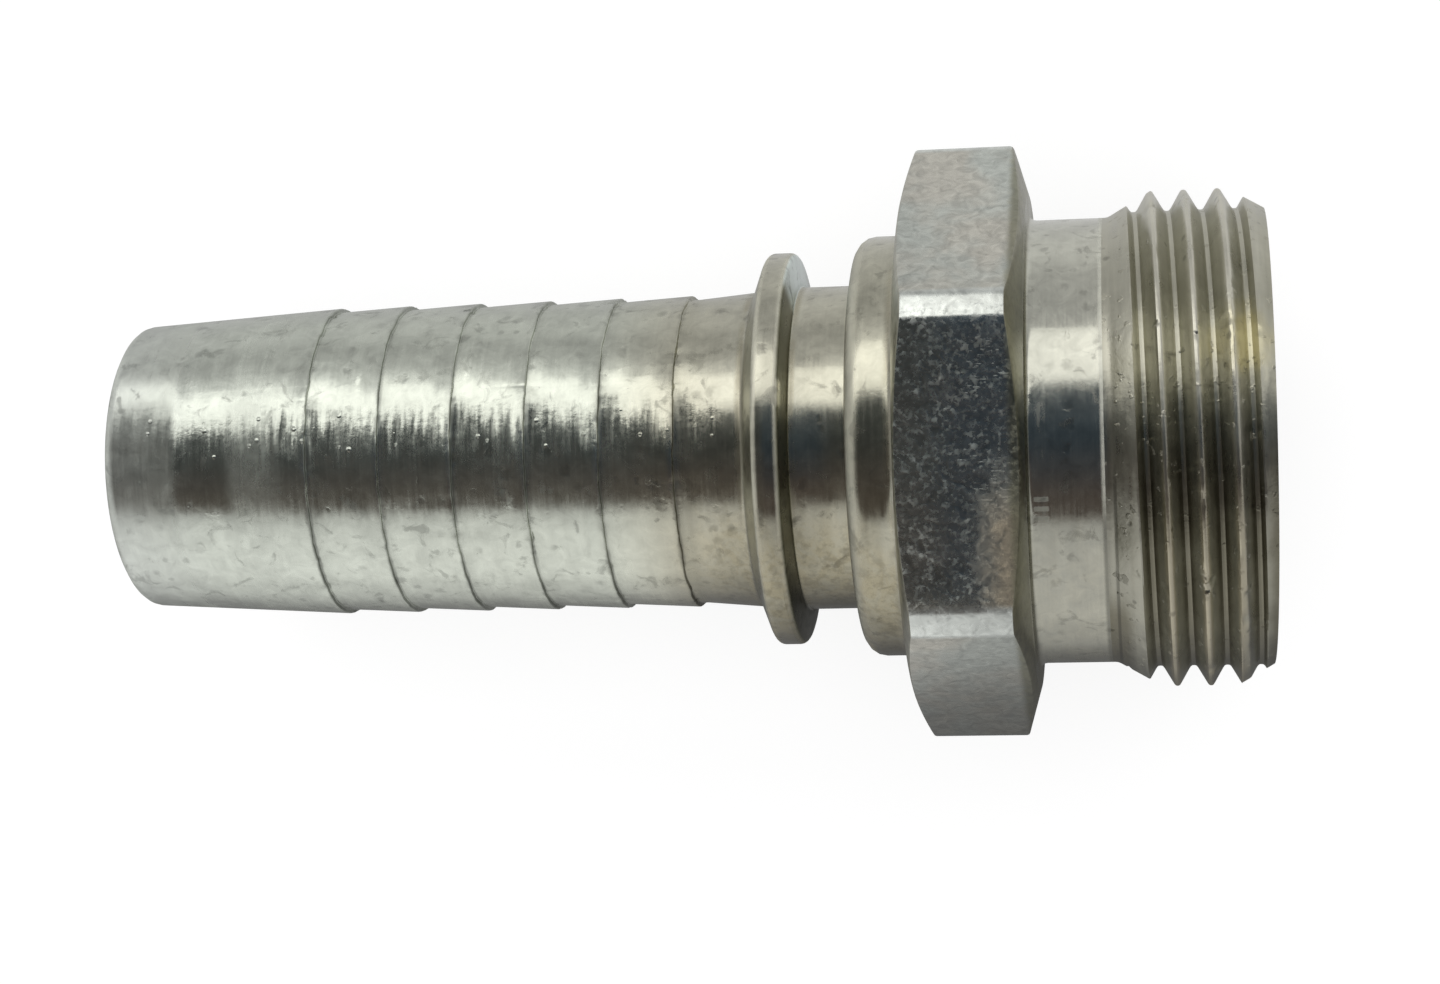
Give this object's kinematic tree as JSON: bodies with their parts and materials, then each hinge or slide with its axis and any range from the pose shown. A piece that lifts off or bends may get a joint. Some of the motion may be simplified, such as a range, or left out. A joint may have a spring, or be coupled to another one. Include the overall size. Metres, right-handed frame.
{
  "type": "hydraulic hose tail",
  "caption": "Steel hose tail: serrated spigot with a ferrule groove and lock bead, spanner hexagon, and male threaded end with a cone seat for a tube.",
  "frame": {"origin": "on the axis, where the threaded end leaves the hexagon", "axes": "+X along the axis towards the threaded end, +Z out of the hexagon's upper flat"},
  "size_m": [0.0705, 0.036, 0.032],
  "materials": {
    "zinc_plated_steel": "turned steel, zinc plated with a slight yellow passivate"
  },
  "bodies": {
    "root": {"hose_tail": "zinc_plated_steel"}
  },
  "joints": []
}
